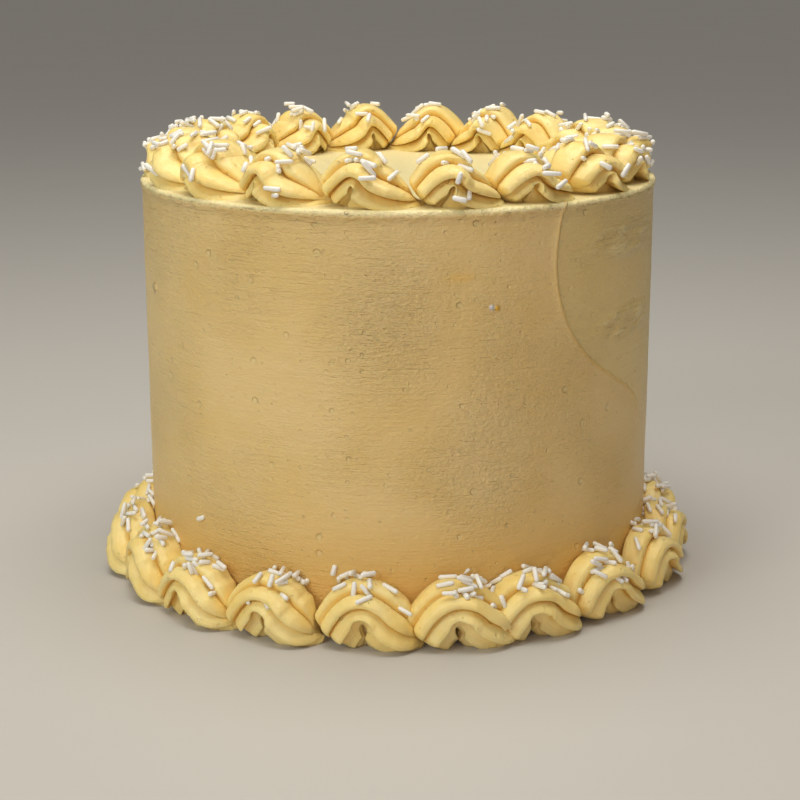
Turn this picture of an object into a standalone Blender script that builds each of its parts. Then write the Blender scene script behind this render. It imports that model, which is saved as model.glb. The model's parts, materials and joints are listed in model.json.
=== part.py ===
"""Lemon buttercream cake with a piped shell border round its rim and another round its foot.

Metres, +Z up. The origin is the middle of the flat underside. The front looks along -Y, and an angle
is counted from the front, anticlockwise seen from above. Each border is a ring of separate piped
shells. A shell is a star-shaped rope of icing that rises from its foot, arches over and runs down
into a tail, and every shell carries a few sugar sprinkles that are fused to it.
"""

import itertools
import math
import random

import bmesh
import bpy
from mathutils import Matrix, Vector
from mathutils.bvhtree import BVHTree

# The iced cake
CAKE_RADIUS = 0.1045
CAKE_HEIGHT = 0.1634
CAKE_SIDES = 72
LIP_OUT = 0.0008
LIP_DEPTH = 0.0045
LIP_BEVEL = 0.0014
FOOT_BEVEL = 0.0010

# Clearance between neighbouring solids
GAP = 0.0003

# One piped shell's rope
RIBS = 8
RIB_DEPTH = 0.36
RIB_DROOP = 0.28
RIB_SPREAD = 0.13
SQUARE_OVER = 0.80
SQUARE_UNDER = 0.55
FORWARD_LEAN = 0.35
SECTIONS = 8

# The last stretch of a rope runs on and down, by shares of its pitch and crown
TAIL_FROM = 0.76
TAIL_RUN_ON = 0.13
TAIL_DROP = 0.13

# Below this angle round the rope, its skirt is drawn in by a share of its breadth
SKIRT_FROM = math.radians(106.0)
SKIRT_TO = math.radians(132.0)
SKIRT_IN = 0.34

# How near the rope's sections may come to where they would meet, on the inner side of a bend
TIGHTEST = 0.80

# Where one shell gives way to the next, as a share of the pitch ahead of its middle
PARTING = 0.57

# The two borders. The stations steer one shell's rope from its foot to its tail: how far along the
# ring, how high, how thick over the middle line, how thick under it and how broad. They are shares of
# the shell's pitch, crown, thickness and breadth.
TOP_BORDER = {
    "name": "rim_shell",
    "count": 18,
    "phase": math.radians(-6.5),
    "ring_radius": 0.0872,
    "base": CAKE_HEIGHT,
    "crown": 0.0128,
    "thickness": 0.0085,
    "breadth": 0.0165,
    "lean": 0.0,
    "wall": 0.0,
    "seed": 3299,
    "stations": (
        ("foot", -0.440, 0.075, 0.95, 0.88, 0.727),
        ("heel", -0.110, 1.058, 1.20, 1.12, 0.942),
        ("crown", -0.180, 0.451, 1.21, 1.21, 1.052),
        ("fall", -0.014, 0.931, 1.18, 1.22, 1.143),
        ("dip", -0.258, -0.079, 1.31, 1.28, 1.161),
        ("tail", 0.536, 0.215, 1.00, 1.03, 0.953),
    ),
}
FOOT_BORDER = {
    "name": "foot_shell",
    "count": 20,
    "phase": math.radians(-6.5),
    "ring_radius": 0.1125,
    "base": 0.0,
    "crown": 0.0166,
    "thickness": 0.0100,
    "breadth": 0.0122,
    "lean": 0.0020,
    "wall": CAKE_RADIUS + 2 * GAP,
    "seed": 2516,
    "stations": (
        ("foot", -0.449, 0.159, 1.05, 1.12, 0.734),
        ("heel", -0.188, 1.344, 1.27, 1.28, 0.897),
        ("crown", -0.143, 0.828, 0.66, 1.12, 0.983),
        ("fall", 0.221, 1.096, 0.90, 1.20, 1.113),
        ("dip", -0.065, 0.438, 1.33, 1.31, 1.130),
        ("tail", 0.431, 0.324, 0.97, 1.06, 0.900),
    ),
}

# How unlike one another the shells are
SPREAD_ANGLE = math.radians(2.0)
SPREAD_SIZE = 0.055
SPREAD_TWIST = math.radians(7.0)
SPREAD_RADIAL = 0.0008

# Sprinkles
SPRINKLE_RADIUS = 0.00095
SPRINKLE_LENGTHS = (0.0046, 0.0078)
SPRINKLE_RIBS = (0, 1)
SPRINKLE_SINK = 0.25
SPRINKLE_SIDES = 5
SPRINKLE_STRETCH = (0.37, 0.43)
SPRINKLE_SWING = (-0.08, 0.08)
SPRINKLE_TILT = math.radians(42.0)
SPRINKLE_APART = 0.0045
SPRINKLE_KEEP = 0.62

# Finishes: colour, roughness
BUTTERCREAM = ("buttercream", (0.86, 0.72, 0.40, 1.0), 0.45)
PIPED_BUTTERCREAM = ("piped_buttercream", (0.90, 0.75, 0.38, 1.0), 0.42)


def clear_scene():
    for thing in list(bpy.data.objects):
        bpy.data.objects.remove(thing)


def new_collection(name):
    group = bpy.data.collections.new(name)
    bpy.context.scene.collection.children.link(group)
    return group


def finish_material(finish):
    name, colour, roughness = finish
    material = bpy.data.materials.new(name)
    material.use_nodes = True
    shader = material.node_tree.nodes["Principled BSDF"]
    shader.inputs["Base Color"].default_value = colour
    shader.inputs["Roughness"].default_value = roughness
    shader.inputs["Metallic"].default_value = 0.0
    return material


def place(angle, radius, height):
    """A point at an angle from the front, a distance from the axis and a height."""
    return Vector((radius * math.sin(angle), -radius * math.cos(angle), height))


def build_cake(group, material):
    """The iced cake: a turned outline with a soft lip at its rim."""
    top = CAKE_HEIGHT
    outline = [
        (0.0, top),
        (CAKE_RADIUS - LIP_BEVEL, top),
        (CAKE_RADIUS + LIP_OUT, top - LIP_BEVEL),
        (CAKE_RADIUS, top - LIP_DEPTH),
        (CAKE_RADIUS, FOOT_BEVEL),
        (CAKE_RADIUS - FOOT_BEVEL, 0.0),
        (0.0, 0.0),
    ]
    mesh = bpy.data.meshes.new("iced_cake")
    edges = [(i, i + 1) for i in range(len(outline) - 1)]
    mesh.from_pydata([(x, 0.0, z) for x, z in outline], edges, [])
    cake = bpy.data.objects.new("iced_cake", mesh)
    mesh.materials.append(material)
    group.objects.link(cake)
    turn = cake.modifiers.new("turn", "SCREW")
    turn.steps = CAKE_SIDES
    turn.render_steps = CAKE_SIDES
    turn.use_merge_vertices = True
    turn.merge_threshold = 0.00001
    turn.use_smooth_shade = False
    return cake


def bernstein(values, u):
    """The smooth value at u, from 0 to 1, that the stations' values steer."""
    degree = len(values) - 1
    return sum(math.comb(degree, i) * u**i * (1 - u) ** (degree - i) * v for i, v in enumerate(values))


def slopes(values):
    """The values that steer the rate of change."""
    return [(len(values) - 1) * (b - a) for a, b in zip(values, values[1:])]


def smooth_step(value, low, high):
    """0 below low, 1 above high and smooth between."""
    run = min(max((value - low) / (high - low), 0.0), 1.0)
    return run * run * (3 - 2 * run)


def shell_shapes(border):
    """The sizes of each shell in a border, no two alike."""
    chance = random.Random(border["seed"])
    pitch = math.tau / border["count"]
    for number in range(border["count"]):
        yield {
            "border": border,
            "number": number,
            "centre": border["phase"] + number * pitch,
            "angle": border["phase"] + number * pitch + chance.uniform(-1, 1) * SPREAD_ANGLE,
            "length": 1 + chance.uniform(-1, 1) * SPREAD_SIZE,
            "height": 1 + chance.uniform(-1, 1) * SPREAD_SIZE,
            "breadth": 1 + chance.uniform(-1, 1) * SPREAD_SIZE,
            "twist": chance.uniform(-1, 1) * SPREAD_TWIST,
            "shift": chance.uniform(-1, 1) * SPREAD_RADIAL,
            "sprinkle_seed": chance.randrange(10**6),
        }


def rib(phi):
    """1 on the crest of a rib and 0 in the groove between two."""
    return abs(math.cos(phi * RIBS / 2))


def rope_section(shape, u):
    """The rope's section at u, which runs from 0 at the foot to 1 at the tail: where its middle is
    along the ring and up, which way its top faces and how far it reaches."""
    border = shape["border"]
    pitch = math.tau / border["count"] * border["ring_radius"]
    _, alongs, ups, overs, unders, broads = zip(*border["stations"])
    alongs = [value * pitch * shape["length"] for value in alongs]
    ups = [value * border["crown"] * shape["height"] for value in ups]
    heading = Vector((bernstein(slopes(alongs), u), bernstein(slopes(ups), u)))
    heading.x += FORWARD_LEAN * pitch * shape["length"]
    heading.normalize()
    thickness = border["thickness"] * shape["height"]
    tail = smooth_step(u, TAIL_FROM, 1.0)
    run_on = tail * TAIL_RUN_ON * pitch * shape["length"]
    drop = tail * TAIL_DROP * border["crown"] * shape["height"]
    return {
        "middle": Vector((bernstein(alongs, u) + run_on, bernstein(ups, u) - drop)),
        "top": Vector((-heading.y, heading.x)),
        "over": thickness * bernstein(overs, u),
        "under": thickness * bernstein(unders, u),
        "broad": border["breadth"] * shape["breadth"] * bernstein(broads, u),
        "twist": shape["twist"] * (u - 0.5),
    }


def across(one, other):
    return one.x * other.y - one.y * other.x


def pinch_bends(sections):
    """Holds each section back from where it would meet another, on the inner side of a bend."""
    for one, other in itertools.permutations(sections, 2):
        opening = across(one["top"], other["top"])
        if abs(opening) < 1e-6:
            continue
        apart = other["middle"] - one["middle"]
        here = across(apart, other["top"]) / opening
        there = across(apart, one["top"]) / opening
        if here > 0 and there > 0:
            one["over"] = min(one["over"], TIGHTEST * here)
        if here < 0 and there < 0:
            one["under"] = min(one["under"], TIGHTEST * -here)


def middle_radius(shape, up):
    """How far out the rope's middle line is at a height: it leans towards the cake as it rises."""
    border = shape["border"]
    return border["ring_radius"] + shape["shift"] - border["lean"] * up / border["crown"]


def in_ring(shape, along, up, outward):
    """Where a point of a section stands, from the shell's middle along the ring, up and outwards."""
    border = shape["border"]
    radius = middle_radius(shape, up) + outward
    return place(shape["angle"] + along / border["ring_radius"], radius, border["base"] + up)


def shell_point(shape, section, phi):
    """A point of the shell's skin: phi goes round the section from its top, outwards first."""
    crest = rib(phi)
    turned = phi + RIB_SPREAD * math.sin(2 * phi) + RIB_DROOP * crest * math.sin(phi) + section["twist"]
    swell = 1 - RIB_DEPTH * (1 - crest)
    facing = math.cos(turned)
    side = math.sin(turned)
    fullness, squareness = (section["over"], SQUARE_OVER) if facing > 0 else (section["under"], SQUARE_UNDER)
    along, up = section["middle"] + section["top"] * fullness * swell * facing
    broad = section["broad"]
    if side < 0:
        broad = min(broad, middle_radius(shape, up) - shape["border"]["wall"])
    skirt = smooth_step(abs(phi), SKIRT_FROM, SKIRT_TO) * SKIRT_IN
    outward = broad * swell * (1 - skirt) * math.copysign(abs(side) ** squareness, side)
    return in_ring(shape, along, up, outward)


def ring_angles():
    """Round one section: every crest and groove, with the underside drawn straight across."""
    step = math.pi / RIBS
    return [k * step for k in range(-RIBS + 2, RIBS - 1)] + [math.pi]


def shell_skin(shape):
    """A closed mesh of the whole rope, before it is cut to its own place in the ring."""
    shell = bmesh.new()
    angles = ring_angles()
    runs = [j / (SECTIONS - 1) for j in range(SECTIONS)]
    sections = [rope_section(shape, run * run * (3 - 2 * run)) for run in runs]
    pinch_bends(sections)
    rings = [[shell.verts.new(shell_point(shape, section, phi)) for phi in angles] for section in sections]
    for near, far in zip(rings, rings[1:]):
        for i in range(len(angles)):
            k = (i + 1) % len(angles)
            shell.faces.new((near[i], near[k], far[k], far[i]))
    for ring, section in ((rings[0], sections[0]), (rings[-1], sections[-1])):
        middle = shell.verts.new(in_ring(shape, *section["middle"], 0.0))
        for i in range(len(ring)):
            k = (i + 1) % len(ring)
            shell.faces.new((ring[i], ring[k], middle))
    bmesh.ops.recalc_face_normals(shell, faces=shell.faces)
    return shell


def cut_away(mesh, point, normal):
    """Removes what lies beyond a plane and closes the cut."""
    geometry = mesh.verts[:] + mesh.edges[:] + mesh.faces[:]
    bmesh.ops.bisect_plane(mesh, geom=geometry, dist=1e-7, plane_co=point, plane_no=normal, clear_outer=True)
    rim = [e for e in mesh.edges if e.is_boundary]
    bmesh.ops.holes_fill(mesh, edges=rim)


def fit_in_ring(mesh, shape):
    """Cuts a shell to its stretch of the ring and to the surface that it was piped on."""
    border = shape["border"]
    pitch = math.tau / border["count"]
    half_gap = GAP / 2
    for share, side in ((PARTING, 1), (PARTING - 1, -1)):
        angle = shape["centre"] + share * pitch
        ahead = Vector((math.cos(angle), math.sin(angle), 0)) * side
        cut_away(mesh, -ahead * half_gap, ahead)
    stand_off = GAP if border["base"] else 0.0
    cut_away(mesh, Vector((0, 0, border["base"] + stand_off)), Vector((0, 0, -1)))
    bmesh.ops.remove_doubles(mesh, verts=mesh.verts, dist=1e-5)
    bmesh.ops.triangulate(mesh, faces=mesh.faces[:])
    bmesh.ops.recalc_face_normals(mesh, faces=mesh.faces)


def object_from(mesh, name, group, material=None):
    data = bpy.data.meshes.new(name)
    mesh.to_mesh(data)
    mesh.free()
    thing = bpy.data.objects.new(name, data)
    group.objects.link(thing)
    if material:
        data.materials.append(material)
    return thing


def sprinkle(middle, axis, length):
    """One sugar strand with rounded ends."""
    rod = bmesh.new()
    bmesh.ops.create_uvsphere(rod, u_segments=SPRINKLE_SIDES, v_segments=3, radius=SPRINKLE_RADIUS)
    half = length / 2 - SPRINKLE_RADIUS
    for vert in rod.verts:
        vert.co.z += math.copysign(half, vert.co.z)
    turn = axis.to_track_quat("Z", "Y").to_matrix().to_4x4()
    bmesh.ops.transform(rod, matrix=Matrix.Translation(middle) @ turn, verts=rod.verts)
    return rod


def is_clear(shape, end):
    """Whether the end of a sprinkle keeps away from the neighbouring shells and from the wall."""
    border = shape["border"]
    half_pitch = math.pi / border["count"]
    angle = math.atan2(end.x, -end.y) - shape["centre"]
    angle = (angle + math.pi) % math.tau - math.pi
    radius = math.hypot(end.x, end.y)
    low = border["base"] + 2 * SPRINKLE_RADIUS
    beside_wall = not border["base"] and radius < CAKE_RADIUS + 2 * SPRINKLE_RADIUS
    return abs(angle) < half_pitch * SPRINKLE_KEEP and end.z > low and not beside_wall


def scatter_sprinkles(shell, shape, group):
    """Lays sprinkles on the shell's upper ribs, each sunk a little into the icing."""
    tree = BVHTree.FromObject(shell, bpy.context.evaluated_depsgraph_get())
    chance = random.Random(shape["sprinkle_seed"])
    laid = []
    while len(laid) < len(SPRINKLE_RIBS):
        u = chance.uniform(*SPRINKLE_STRETCH)
        phi = math.tau / RIBS * SPRINKLE_RIBS[len(laid)] + chance.uniform(*SPRINKLE_SWING)
        length = chance.uniform(*SPRINKLE_LENGTHS)
        spin = chance.uniform(0, math.tau)
        tilt = chance.uniform(0, SPRINKLE_TILT)
        spot, normal, _, _ = tree.find_nearest(shell_point(shape, rope_section(shape, u), phi))
        flat = (Matrix.Rotation(spin, 3, normal) @ normal.orthogonal()).normalized()
        axis = flat * math.cos(tilt) + normal * math.sin(tilt)
        middle = spot + normal * SPRINKLE_RADIUS * 2 * SPRINKLE_SINK
        ends = [middle + axis * length / 2 * side for side in (-1, 1)]
        apart = all((middle - other).length > SPRINKLE_APART for other in laid)
        if apart and all(is_clear(shape, end) for end in ends):
            laid.append(middle)
            object_from(sprinkle(middle, axis, length), "sprinkle", group)


def join_all(thing, others):
    """Joins a collection to an object and keeps the result as the object's mesh."""
    change = thing.modifiers.new("change", "BOOLEAN")
    change.operation = "UNION"
    change.solver = "EXACT"
    change.operand_type = "COLLECTION"
    change.collection = others
    evaluated = thing.evaluated_get(bpy.context.evaluated_depsgraph_get())
    made = bpy.data.meshes.new_from_object(evaluated)
    thing.modifiers.clear()
    thing.data = made


def remove_all(group):
    for thing in list(group.objects):
        bpy.data.objects.remove(thing)


def build_border(border, parts, cutters, material):
    for shape in shell_shapes(border):
        mesh = shell_skin(shape)
        fit_in_ring(mesh, shape)
        shell = object_from(mesh, f"{border['name']}_{shape['number'] + 1:02d}", parts, material)
        scatter_sprinkles(shell, shape, cutters)
        join_all(shell, cutters)
        remove_all(cutters)


def main():
    clear_scene()
    parts = new_collection("lemon_cake")
    cutters = new_collection("cutters")
    build_cake(parts, finish_material(BUTTERCREAM))
    piped = finish_material(PIPED_BUTTERCREAM)
    build_border(TOP_BORDER, parts, cutters, piped)
    build_border(FOOT_BORDER, parts, cutters, piped)


main()
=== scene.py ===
"""Looks of a lemon cake: scraped buttercream, two piped shell borders and white sugar strands.

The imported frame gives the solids, in metres with +Z up. The origin is the middle of the flat
underside and the front looks along -Y. Angles are counted from the front, anticlockwise seen from
above. Along a shell's rope, "along" runs from 0 at its foot to 1 at its tail, and "around" turns
from the rope's top, outwards first.
"""

import json
import math
import random

import bmesh
import bpy
from mathutils import Matrix, Vector

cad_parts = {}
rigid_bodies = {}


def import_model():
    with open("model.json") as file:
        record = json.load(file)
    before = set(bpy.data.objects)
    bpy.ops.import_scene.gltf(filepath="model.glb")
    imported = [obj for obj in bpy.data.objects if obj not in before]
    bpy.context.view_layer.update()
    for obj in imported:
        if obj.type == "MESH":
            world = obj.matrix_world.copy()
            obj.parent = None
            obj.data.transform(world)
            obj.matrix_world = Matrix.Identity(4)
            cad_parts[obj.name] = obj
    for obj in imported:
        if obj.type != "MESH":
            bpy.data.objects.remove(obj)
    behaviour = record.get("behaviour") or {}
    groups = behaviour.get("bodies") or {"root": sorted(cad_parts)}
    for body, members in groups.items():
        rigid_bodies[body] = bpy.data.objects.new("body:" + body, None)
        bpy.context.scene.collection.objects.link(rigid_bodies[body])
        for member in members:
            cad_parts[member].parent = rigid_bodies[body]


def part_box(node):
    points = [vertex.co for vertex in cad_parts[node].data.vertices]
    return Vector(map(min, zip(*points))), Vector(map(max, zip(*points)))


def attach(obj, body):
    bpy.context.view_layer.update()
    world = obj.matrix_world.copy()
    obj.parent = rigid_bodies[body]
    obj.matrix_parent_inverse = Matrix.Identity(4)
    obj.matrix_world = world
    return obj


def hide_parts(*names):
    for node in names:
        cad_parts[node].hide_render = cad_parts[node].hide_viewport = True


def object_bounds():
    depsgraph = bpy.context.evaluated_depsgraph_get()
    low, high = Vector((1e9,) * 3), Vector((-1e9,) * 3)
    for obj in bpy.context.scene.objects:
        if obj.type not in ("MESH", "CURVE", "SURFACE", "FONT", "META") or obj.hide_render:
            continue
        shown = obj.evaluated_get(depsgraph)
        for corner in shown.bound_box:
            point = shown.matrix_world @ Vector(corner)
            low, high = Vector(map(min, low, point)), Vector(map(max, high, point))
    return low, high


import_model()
CAD_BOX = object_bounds()

bl_info = {
    "name": "Lemon Buttercream Cake",
    "version": (1, 0, 0),
    "blender": (4, 5, 0),
    "location": "View3D > Sidebar > Cake",
    "description": "Ices a round cake, pipes shells round its rim and foot and strews sugar strands",
    "category": "Add Mesh",
}

CAKE_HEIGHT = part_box("iced_cake")[1].z
LIP_OUT = 0.0008
CAKE_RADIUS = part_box("iced_cake")[1].x - LIP_OUT

# Steer one shell's rope: along the ring, up, thickness over and under its middle line, breadth, each
# a share of the pitch, crown, thickness and breadth
RIM_STATIONS = (
    ("foot", -0.440, 0.075, 0.95, 0.88, 0.727),
    ("heel", -0.110, 1.058, 1.20, 1.12, 0.942),
    ("crown", -0.180, 0.451, 1.21, 1.21, 1.052),
    ("fall", -0.014, 0.931, 1.18, 1.22, 1.143),
    ("dip", -0.258, -0.079, 1.31, 1.28, 1.161),
    ("tail", 0.536, 0.215, 1.00, 1.03, 0.953),
)
FOOT_STATIONS = (
    ("foot", -0.449, 0.159, 1.05, 1.12, 0.734),
    ("heel", -0.188, 1.344, 1.27, 1.28, 0.897),
    ("crown", -0.143, 0.828, 0.66, 1.12, 0.983),
    ("fall", 0.221, 1.096, 0.90, 1.20, 1.113),
    ("dip", -0.065, 0.438, 1.33, 1.31, 1.130),
    ("tail", 0.431, 0.324, 0.97, 1.06, 0.900),
)

# Ribs round a rope: depth as a share of its thickness, droop and spread as angles in radians. The
# lower side of a rib is blunter than its upper side
RIBS = 8
RIB_DEPTH = 0.36
RIB_DROOP = 0.25
RIB_SPREAD = 0.16
UPPER_BLUNTNESS = 1.5
LIP_BLUNTNESS = 4.0

# Powers that square a rope's sides, the lean of its cross sections and the rounding of its foot
SQUARE_OVER = 0.80
SQUARE_UNDER = 0.55
FORWARD_LEAN = 0.35
FOOT_ROUND = 0.035

# Inside a bend a rope is no thicker than a share of the bend's radius, eased in over a few millimetres
TIGHTEST = 0.75
NEARLY_STRAIGHT = 0.0001
EASING = 0.002

# The last stretch of a rope runs on and down to a tip, and its upper side ends before its lower side
TAIL_FROM = 0.76
TAIL_RUN_ON = 0.13
TAIL_DROP = 0.13
TAIL_TAPER = 0.12
TAIL_CUT_BACK = 0.05

# Below this angle round the rope, its skirt is drawn in by a share of its breadth
SKIRT_FROM = math.radians(106.0)
SKIRT_TO = math.radians(132.0)
SKIRT_IN = 0.34

# Steer the raised seam in the scraped wall: degrees from the front, share of the cake's height
SEAM_ANGLES = (35.9, 30.1, 32.9, 61.2, 68.6)
SEAM_HEIGHTS = (0.998, 0.846, 0.513, 0.611, 0.417)

# Marks on the wall: degrees from the front and height, then how far they reach both ways
WORKED_PATCH = ((-3.0, 0.125), (24.0, 0.058))
UPPER_SMEAR = ((57.0, 0.145), (19.0, 0.0095))
LOWER_SMEAR = ((59.0, 0.112), (18.0, 0.0085))
SMEAR_GAIN = 2.2
YELLOW_SMEAR = ((12.5, 0.1382), (5.2, 0.0030))
YELLOW_SPECK = ((20.3, 0.1262), (0.95, 0.0018))
WHITE_SPECK = ((19.1, 0.1266), (0.85, 0.0015))
CRESCENT = ((-67.3, 0.1230), (2.4, 0.0034))

# Strands that stick to the wall: degrees from the front, height and slant in degrees
WALL_STRAYS = ((-47.6, 0.0368, 25.0), (-13.5, 0.0263, 75.0))

# Where strands fall on a shell, along and around its rope: the middles of heaps and how far strands
# stray from them, the range of the scattered ones, and the limits that all keep
HEAPS = 2
HEAP_ALONG = (0.30, 0.56)
HEAP_AROUND = (-0.45, 0.55)
HEAP_SPREAD = (0.075, 0.30)
SCATTERED_ALONG = (0.12, 0.88)
SCATTERED_AROUND = (-0.9, 1.7)
STREWN_ALONG = (0.08, 0.86)

# How far strands tip out of the icing, in radians, and how much of that lifts their middles
TIPPING = 0.16
TIPPING_LIFT = 0.30

# Strands that cross lie on one another: each lift and the least gap are shares of a strand's radius
STACKING_STEPS = 5
STACKING_LIFT = 0.45
CROSSING_GAP = 1.5

# Lights: name, place, width, height and tint
OVERHEAD = ("overhead", (0.0, 0.0, 1.05), 0.85, 0.75, (1.0, 0.95, 0.84))
WINDOW = ("window", (-0.93, -0.93, 0.75), 0.6, 0.6, (0.92, 1.0, 0.90))
FRONT = ("front", (-0.10, -1.64, 0.42), 0.45, 0.45, (1.0, 0.76, 0.67))
LIT_POINT = (0.0, 0.0, 0.09)
DARK_ROOM = (0.10, 0.095, 0.085)
LIGHT_ROOM = (0.95, 0.92, 0.87)
CEILING = (3.6, 3.45, 3.15)

# Each shell has its own pattern of unevenness, a step further on in the noise
DRIFT_START = 4
DRIFT_STEP = 3

# How far the shells on the rim reach down into the icing on top
RIM_SUNK = 0.0009

# Points nearer than this are joined, at the seam and the poles of a mesh
SHELL_WELD = 0.000004
ICING_WELD = 0.00002

PIPED_FINISH = "ribbed_icing"
BUTTER_IOR = 1.46
SUGAR_IOR = 1.5
FLOOR_SIZE = 30.0


def length(name, description, default):
    return bpy.props.FloatProperty(
        name=name, description=description, default=default, unit="LENGTH", subtype="DISTANCE", precision=5
    )


def share(name, description, default):
    return bpy.props.FloatProperty(name=name, description=description, default=default, precision=3)


def turn(name, description, degrees):
    return bpy.props.FloatProperty(
        name=name, description=description, default=math.radians(degrees), unit="ROTATION", subtype="ANGLE"
    )


def whole(name, description, default):
    return bpy.props.IntProperty(name=name, description=description, default=default, min=1)


def colour(name, description, default):
    return bpy.props.FloatVectorProperty(
        name=name, description=description, default=default, size=3, subtype="COLOR", min=0.0, max=1.0
    )


class CakeIcing(bpy.types.PropertyGroup):
    """The scraped coat of buttercream on the cake."""

    radius: length("Radius", "From the middle of the cake to its wall", CAKE_RADIUS)
    height: length("Height", "From the underside to the top of the icing", CAKE_HEIGHT)
    edge: length("Edge round", "Radius of the rounded top edge", 0.0016)
    lip: length("Lip", "How far the icing stands out at the top edge", LIP_OUT)
    waves: length("Waves", "Depth of the broad waves that the hand leaves", 0.0004)
    scrape: length("Scrape marks", "Depth of the level marks of the scraper", 0.00014)
    seam: length("Seam", "Height of the raised seam where two strokes meet", 0.0007)
    tears: length("Tears", "Depth of the torn smears past the seam", 0.0022)
    columns: whole("Columns", "Mesh steps round the cake", 440)
    wall_rows: whole("Wall rows", "Mesh steps up the wall", 144)
    top_rows: whole("Top rows", "Mesh steps across the top", 74)


def border_sizes(count, first, ring, base, crown, thickness, breadth, lean, wall, seed, strands):
    """The properties of a ring of shells with these defaults."""
    return {
        "count": whole("Shells", "How many shells the ring has", count),
        "first": turn("First shell", "Angle of the first shell from the front", first),
        "ring_radius": length("Ring radius", "From the middle of the cake to the rope's middle line", ring),
        "base": length("Base", "Height of the surface that the shells are piped on", base),
        "crown": length("Crown", "How high the rope's middle line arches", crown),
        "thickness": length("Thickness", "From the middle line to a rib's crest, up or down", thickness),
        "breadth": length("Breadth", "From the middle line to a rib's crest, sideways", breadth),
        "lean": length("Lean", "How far a shell leans inwards over its crown", lean),
        "wall": length("Wall", "Radius of the wall that the shells are pressed against, or none", wall),
        "seed": whole("Seed", "Chooses the unevenness of the shells", seed),
        "strands": whole("Strands", "Sugar strands on each shell", strands),
    }


class RimBorder(bpy.types.PropertyGroup):
    """The ring of shells on the cake's rim."""

    __annotations__ = border_sizes(
        count=18,
        first=-6.5,
        ring=0.0872,
        base=CAKE_HEIGHT,
        crown=0.0128,
        thickness=0.0085,
        breadth=0.0165,
        lean=0.0,
        wall=0.0,
        seed=3299,
        strands=18,
    )


class FootBorder(bpy.types.PropertyGroup):
    """The ring of shells round the cake's foot."""

    __annotations__ = border_sizes(
        count=20,
        first=-6.5,
        ring=0.1125,
        base=0.0,
        crown=0.0166,
        thickness=0.0100,
        breadth=0.0122,
        lean=0.0020,
        wall=CAKE_RADIUS - 0.0008,
        seed=2516,
        strands=24,
    )


class ShellSpread(bpy.types.PropertyGroup):
    """How unlike one another the shells are."""

    angle: turn("Angle", "Most that a shell is off its even place", 2.0)
    size: share("Size", "Most that a shell is off its length, height and breadth", 0.055)
    twist: turn("Twist", "Most that a rope turns from foot to tail", 7.0)
    shift: length("Shift", "Most that a shell is off the ring, in or out", 0.0008)
    uneven: share("Uneven", "How much a rope swells and thins along its run", 0.10)
    wander: share("Wander", "How far its ribs stray round the rope, in radians", 0.16)
    drag: share("Drag", "Depth of the drag marks along it, as a share of its thickness", 0.045)
    torn: share("Torn", "Depth of the torn patches, as a share of its thickness", 0.12)
    rows: whole("Rows", "Mesh steps along a rope", 110)
    columns: whole("Columns", "Mesh steps round a rope", 112)


class SugarStrands(bpy.types.PropertyGroup):
    """The white sugar strands."""

    radius: length("Radius", "Half the thickness of a strand", 0.0010)
    shortest: length("Shortest", "Length of the shortest strand", 0.0046)
    longest: length("Longest", "Length of the longest strand", 0.0078)
    sink: share("Sink", "Share of a strand's thickness that is sunk in the icing", 0.25)
    scattered: share("Scattered", "Share of the strands that lie outside the heaps", 0.36)


class CakeColours(bpy.types.PropertyGroup):
    """Colours of the icing, the strands and the floor, with painted light and shade on the icing."""

    wall: colour("Scraped icing", "Buttercream on the wall", (0.81, 0.60, 0.275))
    # Painted light in part: besides the richer patches at random, this colour lies under the painted bounce
    # glow near the foot
    wall_deep_and_foot_bounce: colour("Deep scraped icing", "The same in its richer patches", (0.77, 0.54, 0.200))
    # Painted light: past the seam the coat is painted greener and a little darker, standing in for the
    # cooler, dimmer light on that side
    painted_light_past_seam: colour("Scraped icing past the seam", "The greener coat past the seam", (0.76, 0.60, 0.26))
    # Painted sheen: the top and the lip at its edge are painted paler, standing in for the gloss that the
    # overhead light leaves there
    top: colour("Icing on top", "The paler coat on top of the cake", (0.84, 0.73, 0.40))
    # Painted light: the golden bounce from the foot shells, painted low on the wall
    painted_foot_bounce: colour("Scraped icing at the foot", "Tinted by the shells beside it", (0.74, 0.45, 0.125))
    # Painted highlight: torn smears and pits are painted paler, standing in for light that catches their
    # edges
    tear_and_pit_glint: colour("Torn icing", "The paler inside that tears and pits lay bare", (0.86, 0.70, 0.36))
    ridge: colour("Ridge", "The seam's ridge and the yellow smear", (0.86, 0.53, 0.13))
    zest: colour("Yellow speck", "A speck of brighter yellow on the wall", (0.88, 0.50, 0.05))
    piped: colour("Piped icing", "Buttercream of the shells", (0.92, 0.745, 0.325))
    piped_deep: colour("Deep piped icing", "The same in its richer patches", (0.91, 0.68, 0.23))
    # Painted shade: the grooves between ribs are painted a deeper orange, standing in for their shadow and
    # the light bounced in them
    painted_groove_shade: colour("Creases in piped icing", "Deepest between two ribs", (0.84, 0.54, 0.11))
    strand: colour("Sugar", "White of the sugar strands", (0.90, 0.89, 0.87))
    dull_strand: colour("Dull sugar", "The same in its duller patches", (0.86, 0.83, 0.77))
    floor: colour("Floor", "The pale floor", (0.55, 0.53, 0.51))


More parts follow.
